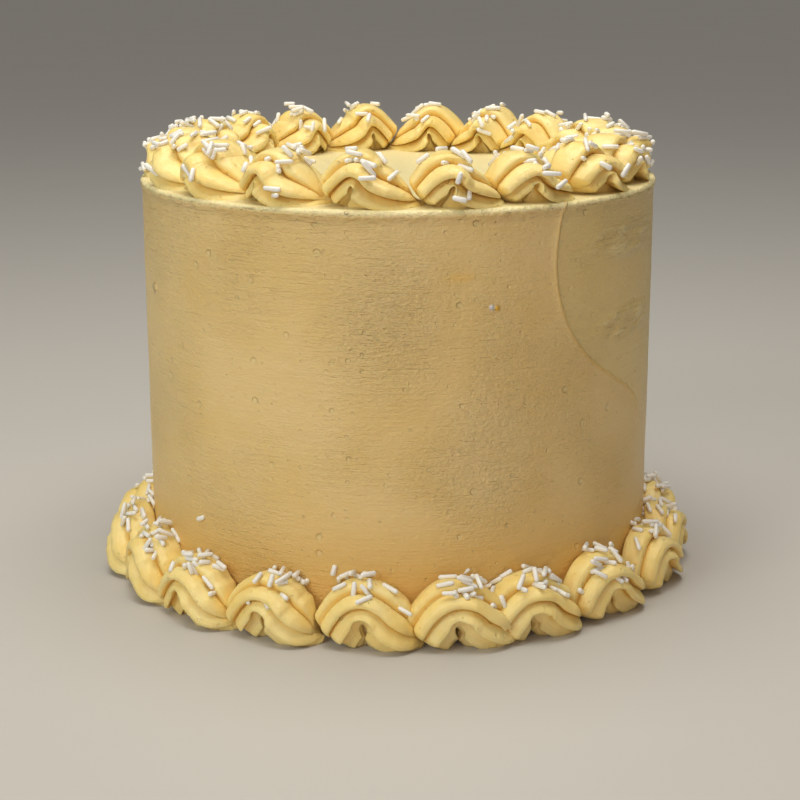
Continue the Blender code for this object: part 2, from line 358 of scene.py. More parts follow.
class Studio(bpy.types.PropertyGroup):
    """The camera and the lights."""

    distance: length("Distance", "From the camera to the middle of the cake, level", 0.7597)
    camera_height: length("Camera height", "Height of the camera over the cake's foot", 0.2636)
    pitch: turn("Pitch", "How far the camera looks down", 14.57)
    yaw: turn("Yaw", "How far the camera is turned to the right", 0.05)
    roll: turn("Roll", "How far the camera is tipped clockwise", 0.09)
    lens: bpy.props.FloatProperty(
        name="Lens", description="Focal length on a 36 mm sensor", default=83.1, unit="CAMERA"
    )
    overhead: share("Overhead light", "Watts of the large light over the cake", 7.4)
    window: share("Window light", "Watts of the soft light on the left", 5.6)
    front: share("Front light", "Watts of the weak light from the camera's side", 3.6)
    room: share("Room light", "Strength of the light from all round", 0.24)


def node_for(operation, reflected=False):
    """One of Python's operators on a socket, as a Math node."""

    def operator(self, other):
        values = (other, self) if reflected else (self, other)
        return self.maker.math(operation, *values)

    return operator


class Socket:
    """An output of a node. A sum on it adds Math nodes to its tree."""

    def __init__(self, maker, socket):
        self.maker = maker
        self.socket = socket

    __add__ = node_for("ADD")
    __radd__ = node_for("ADD", reflected=True)
    __sub__ = node_for("SUBTRACT")
    __rsub__ = node_for("SUBTRACT", reflected=True)
    __mul__ = node_for("MULTIPLY")
    __rmul__ = node_for("MULTIPLY", reflected=True)
    __truediv__ = node_for("DIVIDE")
    __rtruediv__ = node_for("DIVIDE", reflected=True)
    __pow__ = node_for("POWER")


class NodeMaker:
    """Adds nodes to one tree."""

    def __init__(self, tree):
        self.tree = tree

    def add(self, kind, settings=None, inputs=None, output=0):
        """Adds a node, sets it up, feeds its inputs by name or place and gives one output."""
        node = self.tree.nodes.new(kind)
        for name, value in (settings or {}).items():
            setattr(node, name, value)
        for key, value in (inputs or {}).items():
            self.feed(node.inputs[key], value)
        return Socket(self, node.outputs[output])

    def other_output(self, known, output):
        """Another output of the node that a socket comes from."""
        return Socket(self, known.socket.node.outputs[output])

    def feed(self, place, value):
        if isinstance(value, Socket):
            self.tree.links.new(value.socket, place)
        else:
            place.default_value = value

    def math(self, operation, *values):
        return self.add("ShaderNodeMath", {"operation": operation}, dict(enumerate(values)))

    def combine(self, x, y, z):
        return self.add("ShaderNodeCombineXYZ", None, {0: x, 1: y, 2: z})

    def separate(self, vector):
        first = self.add("ShaderNodeSeparateXYZ", None, {0: vector})
        return [self.other_output(first, place) for place in range(3)]

    def step(self, value, low, high):
        """0 below low, 1 above high and smooth between."""
        return self.add(
            "ShaderNodeMapRange",
            {"interpolation_type": "SMOOTHSTEP"},
            {"Value": value, "From Min": low, "From Max": high, "To Min": 0.0, "To Max": 1.0},
        )

    def ramp(self, value, count):
        """The share of a count, between 0 and 1."""
        return self.math("MAXIMUM", self.math("MINIMUM", value / count, 1.0), 0.0)

    def bell(self, value, width):
        """1 at 0 and falling smoothly to 0 over the width, both ways."""
        return 1 - self.step(self.math("ABSOLUTE", value), 0.0, width)

    def noise(self, vector, scale, detail, roughness, drift):
        """Smooth noise between 0 and 1; the drift gives another pattern."""
        return self.add(
            "ShaderNodeTexNoise",
            {"noise_dimensions": "4D"},
            {"Vector": vector, "W": drift, "Scale": scale, "Detail": detail, "Roughness": roughness},
        )

    def stretched(self, vector, x, y, z):
        return self.add("ShaderNodeVectorMath", {"operation": "MULTIPLY"}, {0: vector, 1: (x, y, z)})

    def mix_colour(self, factor, first, second):
        return self.add("ShaderNodeMix", {"data_type": "RGBA"}, {0: factor, 6: first, 7: second}, 2)


def opaque(shade):
    return (*shade, 1.0)


# Geometry trees


def new_tree(name, sizes, counts=()):
    """A geometry tree with named inputs, its maker and its inputs as sockets."""
    tree = bpy.data.node_groups.new(name, "GeometryNodeTree")
    kinds = {"Geometry": "NodeSocketGeometry", "Material": "NodeSocketMaterial"}
    kinds.update(dict.fromkeys(sizes, "NodeSocketFloat"))
    kinds.update(dict.fromkeys(counts, "NodeSocketInt"))
    for label, kind in kinds.items():
        tree.interface.new_socket(label, in_out="INPUT", socket_type=kind)
    tree.interface.new_socket("Geometry", in_out="OUTPUT", socket_type="NodeSocketGeometry")
    maker = NodeMaker(tree)
    entry = tree.nodes.new("NodeGroupInput")
    return tree, maker, {label: Socket(maker, entry.outputs[label]) for label in kinds}


def finish_tree(maker, geometry, material):
    """Ends a tree in real, smoothly shaded geometry with its material."""
    real = maker.add("GeometryNodeRealizeInstances", None, {0: geometry})
    smooth = maker.add("GeometryNodeSetShadeSmooth", None, {"Geometry": real, "Shade Smooth": True})
    painted = maker.add("GeometryNodeSetMaterial", None, {"Geometry": smooth, "Material": material})
    leave = maker.tree.nodes.new("NodeGroupOutput")
    maker.feed(leave.inputs[0], painted)


def welded(maker, geometry, distance):
    return maker.add("GeometryNodeMergeByDistance", None, {"Geometry": geometry, "Distance": distance})


def moved(maker, geometry, position):
    return maker.add("GeometryNodeSetPosition", None, {"Geometry": geometry, "Position": position})


def grid(maker, rows, columns):
    """A flat grid, and for each of its points the share along its rows and along its columns."""
    flat = maker.add(
        "GeometryNodeMeshGrid",
        None,
        {"Size X": 1.0, "Size Y": 1.0, "Vertices X": rows, "Vertices Y": columns},
        "Mesh",
    )
    across, up, _ = maker.separate(maker.add("GeometryNodeInputPosition"))
    return flat, across + 0.5, up + 0.5


def recalled(maker, name, data_type):
    """A value that was kept on the points under a name."""
    return maker.add("GeometryNodeInputNamedAttribute", {"data_type": data_type}, {"Name": name})


def kept(maker, geometry, name, value):
    """Keeps a value on the geometry's points under a name."""
    return maker.add(
        "GeometryNodeStoreNamedAttribute",
        {"data_type": "FLOAT", "domain": "POINT"},
        {"Geometry": geometry, "Name": name, "Value": value},
    )


def placed(maker, angle, radius, height):
    """A point at an angle from the front, a distance from the axis and a height."""
    sine = maker.math("SINE", angle)
    cosine = maker.math("COSINE", angle)
    return maker.combine(radius * sine, 0 - radius * cosine, height)


def power_form(values):
    """Coefficients, lowest first, of the curve that the values steer as Bernstein weights."""
    degree = len(values) - 1
    return [
        math.comb(degree, j) * sum((-1) ** (i + j) * math.comb(j, i) * values[i] for i in range(j + 1))
        for j in range(degree + 1)
    ]


def slope(coefficients):
    return [j * value for j, value in enumerate(coefficients)][1:]


def curve(coefficients, u):
    """The value of a curve at u, which may be a socket."""
    total = coefficients[-1]
    for value in reversed(coefficients[:-1]):
        total = total * u + value
    return total


SHELL_PLACE = ("Angle", "Shift", "Ring Radius", "Base", "Wall")
SHELL_SHAPE = ("Reach", "Crown", "Thickness", "Breadth", "Twist", "Lean")
SHELL_UNEVENNESS = ("Uneven", "Wander", "Drag", "Torn", "Drift")
SHELL_STEPS = ("Rows", "Columns")


def shell_tree(name, stations):
    """A star-shaped rope of icing that rises from its foot, arches over and runs into a tail."""
    tree, maker, given = new_tree(name, SHELL_PLACE + SHELL_SHAPE + SHELL_UNEVENNESS, SHELL_STEPS)
    alongs, ups, overs, unders, broads = (power_form(values) for values in list(zip(*stations))[1:])
    flat, run, turn_share = grid(maker, given["Rows"], given["Columns"])
    u = run * run * (3 - run * 2)
    even_turn = (turn_share - 0.5) * RIBS
    rib_number = maker.math("ROUND", even_turn)
    from_crest = maker.math("SINE", (even_turn - rib_number) * math.pi)
    phi = (rib_number + from_crest * 0.5) * (math.tau / RIBS)

    reach, crown = given["Reach"], given["Crown"]
    pace_along = curve(slope(alongs), u) * reach
    pace_up = curve(slope(ups), u) * crown
    change_along = curve(slope(slope(alongs)), u) * reach
    change_up = curve(slope(slope(ups)), u) * crown
    heading_along = pace_along + reach * FORWARD_LEAN
    heading_length = maker.math("SQRT", heading_along * heading_along + pace_up * pace_up)
    heading_along, heading_up = heading_along / heading_length, pace_up / heading_length
    turning = (heading_along * change_up - heading_up * change_along) / heading_length
    bend = turning / (pace_along * heading_along + pace_up * heading_up)

    drift = given["Drift"]
    stray = (maker.noise(maker.combine(u * 2.2, 0.0, 0.0), 1.0, 1.0, 0.5, drift) - 0.5) * given["Wander"]
    swelling = maker.noise(maker.combine(u * 3.4, 5.0, 0.0), 1.0, 2.0, 0.5, drift) - 0.5
    rib_growth = maker.noise(maker.combine(u * 2.6, rib_number * 7.3, 9.0), 1.0, 1.0, 0.5, drift) - 0.5
    downwards = maker.math("GREATER_THAN", from_crest * maker.math("SIGN", phi), 0.0)
    bluntness = UPPER_BLUNTNESS + (LIP_BLUNTNESS - UPPER_BLUNTNESS) * downwards
    crest = 1 - maker.math("ABSOLUTE", from_crest) ** bluntness
    around = maker.math("SINE", phi)
    spread_out = RIB_SPREAD * maker.math("SINE", phi * 2)
    turned = phi + stray + spread_out + RIB_DROOP * crest * around + given["Twist"] * (u - 0.5)

    at_foot = maker.math("MINIMUM", u / FOOT_ROUND, 1.0)
    cut_back = (0.5 + 0.5 * maker.math("COSINE", phi)) * TAIL_CUT_BACK
    at_tail = maker.ramp(1 - u - cut_back, TAIL_TAPER)
    foot_closing = maker.math("SQRT", 1 - (1 - at_foot) * (1 - at_foot))
    tail_closing = maker.math("SQRT", 1 - (1 - at_tail) * (1 - at_tail))
    where_torn = maker.noise(maker.combine(u * 3.0, phi * 0.9, 2.0), 1.0, 1.0, 0.5, drift)
    torn_here = maker.step(where_torn, 0.50, 0.66)
    torn = maker.noise(maker.combine(u * 42.0, phi * 5.0, 4.0), 1.0, 3.0, 0.6, drift) - 0.5
    drag = maker.noise(maker.combine(u * 7.0, phi * 7.0, 8.0), 1.0, 2.0, 0.5, drift) - 0.5
    rough = drag * given["Drag"] + torn * torn_here * given["Torn"]
    swell = (1 - RIB_DEPTH * (1 - crest)) * (1 + swelling * given["Uneven"] * 2)
    swell = (swell * (1 + rib_growth * given["Uneven"] * 2.4) + rough) * foot_closing * tail_closing

    facing = maker.math("COSINE", turned)
    over = maker.math("GREATER_THAN", facing, 0.0)
    room_over = TIGHTEST / maker.math("MAXIMUM", bend, NEARLY_STRAIGHT)
    room_under = TIGHTEST / maker.math("MAXIMUM", 0 - bend, NEARLY_STRAIGHT)
    full_over = maker.math("SMOOTH_MIN", given["Thickness"] * curve(overs, u), room_over, EASING)
    full_under = maker.math("SMOOTH_MIN", given["Thickness"] * curve(unders, u), room_under, EASING)
    thick = (full_over * over + full_under * (1 - over)) * swell * facing
    side = maker.math("SINE", turned)
    squareness = SQUARE_UNDER + (SQUARE_OVER - SQUARE_UNDER) * over
    squared = maker.math("ABSOLUTE", side) ** squareness * maker.math("SIGN", side)
    skirt = maker.step(maker.math("ABSOLUTE", phi), SKIRT_FROM, SKIRT_TO) * SKIRT_IN
    outward = given["Breadth"] * curve(broads, u) * swell * squared * (1 - skirt) + given["Shift"]

    tail = maker.step(u, TAIL_FROM, 1.0)
    along = curve(alongs, u) * reach + tail * TAIL_RUN_ON * reach - heading_up * thick
    up = curve(ups, u) * crown - tail * TAIL_DROP * crown + heading_along * thick
    leaned = outward - given["Lean"] * up / crown
    radius = maker.math("MAXIMUM", given["Ring Radius"] + leaned, given["Wall"])
    angle = given["Angle"] + along / given["Ring Radius"]

    marked = kept(maker, kept(maker, flat, "along", u), "around", phi)
    rope = moved(maker, marked, placed(maker, angle, radius, given["Base"] + up))
    finish_tree(maker, welded(maker, rope, SHELL_WELD), given["Material"])
    return tree


ICING_SIZES = ("Radius", "Height", "Edge", "Lip", "Waves", "Scrape", "Seam", "Tears")
ICING_STEPS = ("Columns", "Wall Rows", "Top Rows")
UNDERSIDE_ROWS = 3

# The icing's mesh is closer at the front by this share, and these powers set the steps of its rows
FRONT_CLOSENESS = 0.30
WALL_ROW_POWER = 1.25
TOP_ROW_POWER = 1.2


def seam_line(maker, radius, height):
    """The middle line of the raised seam, on the wall."""
    points = 60
    line = maker.add("GeometryNodeMeshLine", None, {"Count": points})
    share_of_run = maker.add("GeometryNodeInputIndex") / (points - 1.0)
    angle = curve(power_form([math.radians(value) for value in SEAM_ANGLES]), share_of_run)
    up = curve(power_form(SEAM_HEIGHTS), share_of_run) * height
    return moved(maker, line, placed(maker, angle, radius, up))


def wall_spot(maker, angle, height, mark):
    """1 at a mark's spot on the wall and falling smoothly to 0 at its reach."""
    (middle_angle, middle_height), (reach_round, reach_up) = mark
    across = (angle - math.radians(middle_angle)) / math.radians(reach_round)
    up = (height - middle_height) / reach_up
    return 1 - maker.step(maker.math("SQRT", across * across + up * up), 0.0, 1.0)


def smears(maker, angle, height):
    """1 where the scraper tore two level smears past the seam."""
    upper = wall_spot(maker, angle, height, UPPER_SMEAR)
    lower = wall_spot(maker, angle, height, LOWER_SMEAR)
    return maker.math("MINIMUM", maker.math("MAXIMUM", upper, lower) * SMEAR_GAIN, 1.0)


def torn_icing(maker, angle, height):
    """Level tears in the scraped coat."""
    return maker.noise(maker.combine(angle * 9.0, height * 40.0, height * 330.0), 1.0, 4.0, 0.6, 10.0)


def icing_tree():
    """The scraped coat: an outline from the middle of the underside, up the wall and over the top."""
    tree, maker, given = new_tree("Scraped icing", ICING_SIZES, ICING_STEPS)
    radius, height, edge = given["Radius"], given["Height"], given["Edge"]
    wall_rows, top_rows = given["Wall Rows"], given["Top Rows"]
    rows = wall_rows + top_rows + (UNDERSIDE_ROWS + 1)
    flat, run, round_share = grid(maker, rows, given["Columns"] + 1)

    row = run * (rows - 1)
    under = maker.ramp(row, UNDERSIDE_ROWS)
    climbed = maker.ramp(row - UNDERSIDE_ROWS, wall_rows)
    inward = maker.ramp(row - UNDERSIDE_ROWS - wall_rows, top_rows)
    wall_share = 1 - (1 - climbed) ** WALL_ROW_POWER
    top_share = inward**TOP_ROW_POWER
    sharp_radius = radius * (under - top_share)
    sharp_height = height * wall_share
    corner_out = maker.math("MAXIMUM", sharp_radius - radius + edge, 0.0)
    corner_up = maker.math("MAXIMUM", sharp_height - height + edge, 0.0)
    corner = maker.math("SQRT", corner_out * corner_out + corner_up * corner_up)
    pulled = edge / maker.math("MAXIMUM", corner, edge) - 1
    plain_radius = sharp_radius + corner_out * pulled
    plain_height = sharp_height + corner_up * pulled
    reach = maker.math("MAXIMUM", corner, 0.000001)
    facing_out, facing_up = corner_out / reach, corner_up / reach

    evenly = (round_share - 0.5) * math.tau
    angle = evenly - FRONT_CLOSENESS * maker.math("SINE", evenly)
    spot = placed(maker, angle, plain_radius, plain_height)

    broad = maker.noise(maker.stretched(spot, 22.0, 22.0, 34.0), 1.0, 2.0, 0.5, 3.0) - 0.5
    marks = maker.noise(maker.stretched(spot, 14.0, 14.0, 190.0), 1.0, 2.0, 0.6, 7.0) - 0.5
    ragged = maker.noise(maker.stretched(spot, 90.0, 90.0, 60.0), 1.0, 3.0, 0.6, 11.0)
    torn_edge = maker.noise(maker.stretched(spot, 160.0, 160.0, 20.0), 1.0, 3.0, 0.65, 12.0)
    below_top = height - plain_height
    lip_depth = 0.0006 + torn_edge * 0.0052
    lip = given["Lip"] * (1 - maker.step(below_top, lip_depth, lip_depth + 0.0009)) * (ragged * 1.5 - 0.05)
    nearest = maker.add(
        "GeometryNodeProximity",
        {"target_element": "EDGES"},
        {0: seam_line(maker, radius, height), "Sample Position": spot},
        "Position",
    )
    near_seam = maker.other_output(nearest, "Distance")
    seam_x, seam_y, _ = maker.separate(nearest)
    seam_angle = maker.math("ARCTAN2", seam_x, 0 - seam_y)
    past_seam = near_seam * maker.math("SIGN", angle - seam_angle)
    fading = maker.step(plain_height, height * 0.42, height * 0.62)
    seam = given["Seam"] * maker.bell(near_seam, 0.0020) * (0.35 + 0.65 * fading) * (0.5 + ragged)
    torn = torn_icing(maker, angle, plain_height) - 0.5
    tears = torn * smears(maker, angle, plain_height) * given["Tears"]
    relief = broad * given["Waves"] * 2 + marks * given["Scrape"] * 2 * facing_out + lip * facing_out + seam
    relief = relief + tears * facing_out
    final_radius = plain_radius + relief * facing_out
    final_height = plain_height + (relief - given["Waves"]) * facing_up

    marked = kept(maker, flat, "past_seam", past_seam)
    skin = moved(maker, marked, placed(maker, angle, final_radius, final_height))
    finish_tree(maker, welded(maker, skin, ICING_WELD), given["Material"])
    return tree


def strand_tree():
    """A round-ended sugar strand on every point, laid along the direction kept there."""
    tree, maker, given = new_tree("Sugar strands", ("Radius", "Length"))
    ball = maker.add(
        "GeometryNodeMeshUVSphere", None, {"Segments": 8, "Rings": 6, "Radius": given["Radius"]}, "Mesh"
    )
    x, y, z = maker.separate(maker.add("GeometryNodeInputPosition"))
    half = given["Length"] / 2 - given["Radius"]
    rod = moved(maker, ball, maker.combine(x, y, z + maker.math("SIGN", z) * half))
    lie = recalled(maker, "lie", "FLOAT_VECTOR")
    stretch = recalled(maker, "stretch", "FLOAT")
    plump = recalled(maker, "plump", "FLOAT")
    aim = maker.add("FunctionNodeAlignRotationToVector", {"axis": "Z"}, {"Vector": lie})
    strewn = maker.add(
        "GeometryNodeInstanceOnPoints",
        None,
        {
            "Points": given["Geometry"],
            "Instance": rod,
            "Rotation": aim,
            "Scale": maker.combine(plump, plump, stretch),
        },
    )
    finish_tree(maker, strewn, given["Material"])
    return tree


def grown(name, tree, values, points=None):
    """An object with the tree's result as its plain mesh."""
    mesh = points or bpy.data.meshes.new(name)
    thing = bpy.data.objects.new(name, mesh)
    bpy.context.scene.collection.objects.link(thing)
    growth = thing.modifiers.new("growth", "NODES")
    growth.node_group = tree
    for item in tree.interface.items_tree:
        if item.in_out == "INPUT" and item.name in values:
            growth[item.identifier] = values[item.name]
    thing.update_tag()
    evaluated = thing.evaluated_get(bpy.context.evaluated_depsgraph_get())
    made = bpy.data.meshes.new_from_object(evaluated)
    made.name = name
    thing.modifiers.remove(growth)
    thing.data = made
    return thing


def closed_above(thing, height=None):
    """Turns the mesh's faces outwards, and first cuts it off flat below a height, if one is given."""
    mesh = bmesh.new()
    mesh.from_mesh(thing.data)
    if height is not None:
        geometry = mesh.verts[:] + mesh.edges[:] + mesh.faces[:]
        level = Vector((0, 0, height))
        bmesh.ops.bisect_plane(
            mesh, geom=geometry, dist=1e-7, plane_co=level, plane_no=Vector((0, 0, -1)), clear_outer=True
        )
        cut = [edge for edge in mesh.edges if edge.is_boundary]
        for face in bmesh.ops.holes_fill(mesh, edges=cut)["faces"]:
            face.smooth = False
    bmesh.ops.recalc_face_normals(mesh, faces=mesh.faces)
    mesh.to_mesh(thing.data)
    mesh.free()


# Materials


def new_material(name):
    material = bpy.data.materials.new(name)
    material.use_nodes = True
    material.node_tree.nodes.clear()
    return material, NodeMaker(material.node_tree)


def finish_material(maker, tone, roughness, inputs=None):
    """A Principled surface with this colour, this roughness and these other inputs."""
    given = {"Base Color": tone, "Roughness": roughness, **(inputs or {})}
    shader = maker.add("ShaderNodeBsdfPrincipled", None, given)
    surface = maker.tree.nodes.new("ShaderNodeOutputMaterial")
    maker.feed(surface.inputs["Surface"], shader)


def translucent(normal, weight, colours, depth, bending):
    """Inputs of a surface that light seeps into."""
    return {
        "Normal": normal,
        "Subsurface Weight": weight,
        "Subsurface Radius": colours,
        "Subsurface Scale": depth,
        "IOR": bending,
    }


def carried(maker, name):
    """A value that the mesh carries under a name."""
    return maker.add("ShaderNodeAttribute", {"attribute_name": name}, None, "Fac")


def object_place(maker):
    return maker.add("ShaderNodeTexCoord", output="Object")


def coated(maker, shade, *coats):
    """A colour with others laid over it, each by its own share."""
    tone = opaque(shade)
    for share_here, other in coats:
        tone = maker.mix_colour(share_here, tone, opaque(other))
    return tone


def raised(maker, *layers):
    """A normal from layers of relief, each with its height, depth in metres and strength."""
    under = {}
    for height, depth, strength in layers:
        inputs = {"Height": height, "Distance": depth, "Strength": strength, **under}
        normal = maker.add("ShaderNodeBump", None, inputs)
        under = {"Normal": normal}
    return normal


def bubbles(maker, place, scale, largest, share_left):
    """Small round pits: 1 at a pit's middle, 0 outside, with only some cells holding one."""
    cell = {"Vector": place, "Scale": scale, "Randomness": 1.0}
    distance = maker.add("ShaderNodeTexVoronoi", None, cell, "Distance")
    chance, size, _ = maker.separate(maker.other_output(distance, "Color"))
    there = maker.math("GREATER_THAN", chance, share_left)
    return there * (1 - maker.step(distance / (size * largest + 0.03), 0.55, 1.0))


def scraped_icing(shades):
    """Buttercream drawn smooth with a scraper: level marks, grain, pits and soft sheen, with painted light
    in its colour.
    """
    material, maker = new_material("scraped_buttercream")
    place = object_place(maker)
    x, y, height = maker.separate(place)
    angle = maker.math("ARCTAN2", x, 0 - y)
    past_seam = carried(maker, "past_seam")
    patches = maker.noise(place, 24.0, 3.0, 0.55, 1.0)
    level = maker.noise(maker.combine(angle * 3.2, 0.0, height * 620.0), 1.0, 3.0, 0.6, 2.0)
    fine_level = maker.noise(maker.combine(angle * 14.0, 0.0, height * 2000.0), 1.0, 2.0, 0.6, 4.0)
    broken = maker.noise(maker.combine(angle * 62.0, 0.0, height * 900.0), 1.0, 3.0, 0.65, 8.0)
    grain = maker.noise(place, 900.0, 2.0, 0.6, 5.0)
    orange_peel = maker.noise(place, 240.0, 2.0, 0.5, 6.0)
    pits = bubbles(maker, place, 170.0, 0.30, 0.72)
    fine_pits = bubbles(maker, place, 420.0, 0.34, 0.56)

    worked, yellow_smear, yellow_speck, white_speck, crescent = (
        wall_spot(maker, angle, height, mark)
        for mark in (WORKED_PATCH, YELLOW_SMEAR, YELLOW_SPECK, WHITE_SPECK, CRESCENT)
    )
    smeared = smears(maker, angle, height)
    where_marked = maker.step(maker.noise(place, 11.0, 2.0, 0.5, 9.0), 0.44, 0.64)
    outer = maker.step(maker.math("SQRT", x * x + y * y), CAKE_RADIUS - 0.0060, CAKE_RADIUS - 0.0020)
    # The top and its lip: kept free of drag marks, and painted paler there as sheen
    near_top = maker.step(height, CAKE_HEIGHT - 0.0030, CAKE_HEIGHT - 0.0010)
    dragged = (maker.math("MAXIMUM", worked * 0.75, where_marked * 0.5) + 0.18) * (1 - near_top)
    torn = torn_icing(maker, angle, height)
    beyond = maker.step(past_seam, -0.0004, 0.0012) * maker.step(height, 0.060, 0.095)
    ridge = maker.bell(past_seam - 0.0002, 0.0011) * maker.step(height, 0.060, 0.085)
    # Painted bounce light: where the golden glow from the foot shells is painted, low on the wall
    foot_bounce_share = 1 - maker.step(height, 0.012, 0.060)
    rim_edge = maker.bell(height - CAKE_HEIGHT + 0.0015, 0.0050) * outer
    ragged = maker.noise(maker.stretched(place, 260.0, 260.0, 420.0), 1.0, 3.0, 0.6, 13.0)

    # Richer patches at random, and near the foot the painted bounce glow as well
    rich = maker.math("MAXIMUM", maker.step(patches, 0.35, 0.70) * 0.8, foot_bounce_share)
    # Painted highlight on the torn smears and the pits
    tear_and_pit_glint = maker.step(torn, 0.48, 0.58) * smeared + maker.math("MAXIMUM", pits, fine_pits) * 0.4
    tone = coated(
        maker,
        shades.wall,
        (rich, shades.wall_deep_and_foot_bounce),
        # Painted bounce light at the foot
        (foot_bounce_share * 0.8, shades.painted_foot_bounce),
        # Painted light past the seam: greener and a little darker
        (beyond * 0.5, shades.painted_light_past_seam),
        # Painted sheen on the top and its lip
        (near_top, shades.top),
        # Painted highlight on tears and pits
        (tear_and_pit_glint * 0.75, shades.tear_and_pit_glint),
        (ridge * 0.45 + yellow_smear * 0.6, shades.ridge),
        (maker.ramp(yellow_speck, 0.8), shades.zest),
        (maker.ramp(white_speck, 0.6), shades.strand),
    )
    marks = raised(
        maker,
        (level * dragged, 0.0012, 1.0),
        (fine_level * dragged, 0.0008, 1.0),
        (broken * dragged, 0.0016, 1.0),
        (torn * (smeared + beyond * 0.2 + crescent), 0.0030, 1.0),
        (ridge, 0.0006, 1.0),
        (white_speck + yellow_speck, 0.0008, 1.0),
        (orange_peel, 0.00040, 1.0),
        (ragged * rim_edge, 0.0020, 1.0),
        (grain, 0.00008, 0.5),
        (0 - pits - fine_pits * 0.5, 0.00050, 1.0),
    )
    glow = translucent(marks, 0.18, (1.0, 0.62, 0.22), 0.003, BUTTER_IOR)
    finish_material(maker, tone, 0.28 + 0.12 * grain + 0.08 * level, glow)
    return material


def piped_icing(shades):
    """Buttercream pressed through a star nozzle: fine drag lines along each rib, a few bubbles and painted
    shade in the grooves.
    """
    material, maker = new_material(PIPED_FINISH)
    place = object_place(maker)
    along, around = carried(maker, "along"), carried(maker, "around")
    drag_place = maker.combine(along * 2.0, around * 9.0, 0.0)
    drag = maker.noise(drag_place, 1.6, 3.0, 0.6, 1.0)
    patches = maker.noise(place, 60.0, 3.0, 0.55, 2.0)
    grain = maker.noise(place, 1100.0, 2.0, 0.6, 3.0)
    lumps = maker.noise(place, 260.0, 2.0, 0.5, 6.0)
    pits = bubbles(maker, place, 380.0, 0.34, 0.74)
    # Painted shade: 1 in the grooves between ribs, where shadow and bounce light are painted
    groove = 1 - maker.math("ABSOLUTE", maker.math("COSINE", around * (RIBS / 2)))
    rich = maker.step(patches, 0.30, 0.72)
    tone = coated(
        maker,
        shades.piped,
        (rich, shades.piped_deep),
        # Painted shade in the grooves
        (maker.step(groove, 0.45, 1.0) * 0.6, shades.painted_groove_shade),
    )
    marks = raised(
        maker, (drag, 0.00040, 1.0), (lumps, 0.00055, 1.0), (grain, 0.00005, 0.5), (0 - pits, 0.00035, 1.0)
    )
    glow = translucent(marks, 0.20, (1.0, 0.62, 0.20), 0.003, BUTTER_IOR)
    finish_material(maker, tone, 0.26 + 0.14 * grain + 0.06 * drag, glow)
    return material


def sugar(shades):
    """White pressed sugar with a soft gloss."""
    material, maker = new_material("sugar_strands")
    place = object_place(maker)
    grain = maker.noise(place, 1500.0, 3.0, 0.6, 1.0)
    cloudy = maker.noise(place, 220.0, 2.0, 0.5, 2.0)
    tone = coated(maker, shades.strand, (cloudy * 0.5, shades.dull_strand))
    marks = raised(maker, (grain, 0.00008, 1.0))
    glow = translucent(marks, 0.15, (1.0, 0.9, 0.8), 0.001, SUGAR_IOR)
    finish_material(maker, tone, 0.26 + 0.18 * grain, glow)
    return material


def floor_finish(shades):
    """A plain pale floor, very faintly mottled."""
    material, maker = new_material("pale_floor")
    place = object_place(maker)
    mottle = maker.noise(place, 6.0, 4.0, 0.6, 1.0)
    darker = [value * 0.94 for value in shades.floor]
    tone = coated(maker, shades.floor, (mottle, darker))
    finish_material(maker, tone, 0.55 + 0.1 * mottle)
    return material


# The shells and their strands


def set_on(group, names):
    """What is set on a property group, under the names of a tree's inputs."""
    return {name: getattr(group, name.lower().replace(" ", "_")) for name in names}


def shell_shapes(border, spread):
    """Each shell's number, its sizes and a seed for its strands, drawn in the same order as in the
    solids."""
    chance = random.Random(border.seed)
    pitch = math.tau / border.count
    for number in range(border.count):
        angle = border.first + number * pitch + chance.uniform(-1, 1) * spread.angle
        longer, higher, broader = [1 + chance.uniform(-1, 1) * spread.size for _ in range(3)]
        sizes = {
            "Angle": angle,
            "Reach": pitch * border.ring_radius * longer,
            "Crown": border.crown * higher,
            "Thickness": border.thickness * higher,
            "Lean": border.lean * higher,
            "Breadth": border.breadth * broader,
            "Twist": chance.uniform(-1, 1) * spread.twist,
            "Shift": chance.uniform(-1, 1) * spread.shift,
            "Drift": float(number * DRIFT_STEP + DRIFT_START + border.count),
        }
        yield number + 1, sizes, chance.randrange(10**6)


def pipe_border(border, node_name, stations, sunk):
    """Pipes a ring of shells, each in the place of its own solid."""
    cake = bpy.context.scene.lemon_cake
    tree = shell_tree(f"{node_name} rope", stations)
    common = set_on(border, ("Ring Radius", "Base", "Wall"))
    common.update(set_on(cake.spread, ("Uneven", "Wander", "Drag", "Torn", "Rows")))
    common["Columns"] = cake.spread.columns + 1
    common["Material"] = bpy.data.materials.get(PIPED_FINISH) or piped_icing(cake.colours)
    for number, sizes, _ in shell_shapes(border, cake.spread):
        node = f"{node_name}_{number:02d}"
        shell = grown(f"piped_{node}", tree, {**common, **sizes})
        closed_above(shell, border.base - sunk)
        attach(shell, "root")
        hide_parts(node)


class RopeMap:
    """Finds points on a piped shell by their place along and around its rope."""

    def __init__(self, shell):
        mesh = shell.data
        self.spots = [vertex.co.copy() for vertex in mesh.vertices]
        self.normals = [vertex.normal.copy() for vertex in mesh.vertices]
        along = [item.value for item in mesh.attributes["along"].data]
        around = [item.value for item in mesh.attributes["around"].data]
        self.marks = list(zip(along, around))

    def at(self, along, around):
        """The nearest vertex's place and outward direction."""
        nearest = min(
            range(len(self.marks)),
            key=lambda i: (self.marks[i][0] - along) ** 2 + ((self.marks[i][1] - around) / math.tau) ** 2,
        )
        return self.spots[nearest], self.normals[nearest]


def nearest_on(start, step, point):
    """The point of a stretch that is nearest to another point."""
    return start + step * min(max((point - start).dot(step) / step.length_squared, 0.0), 1.0)


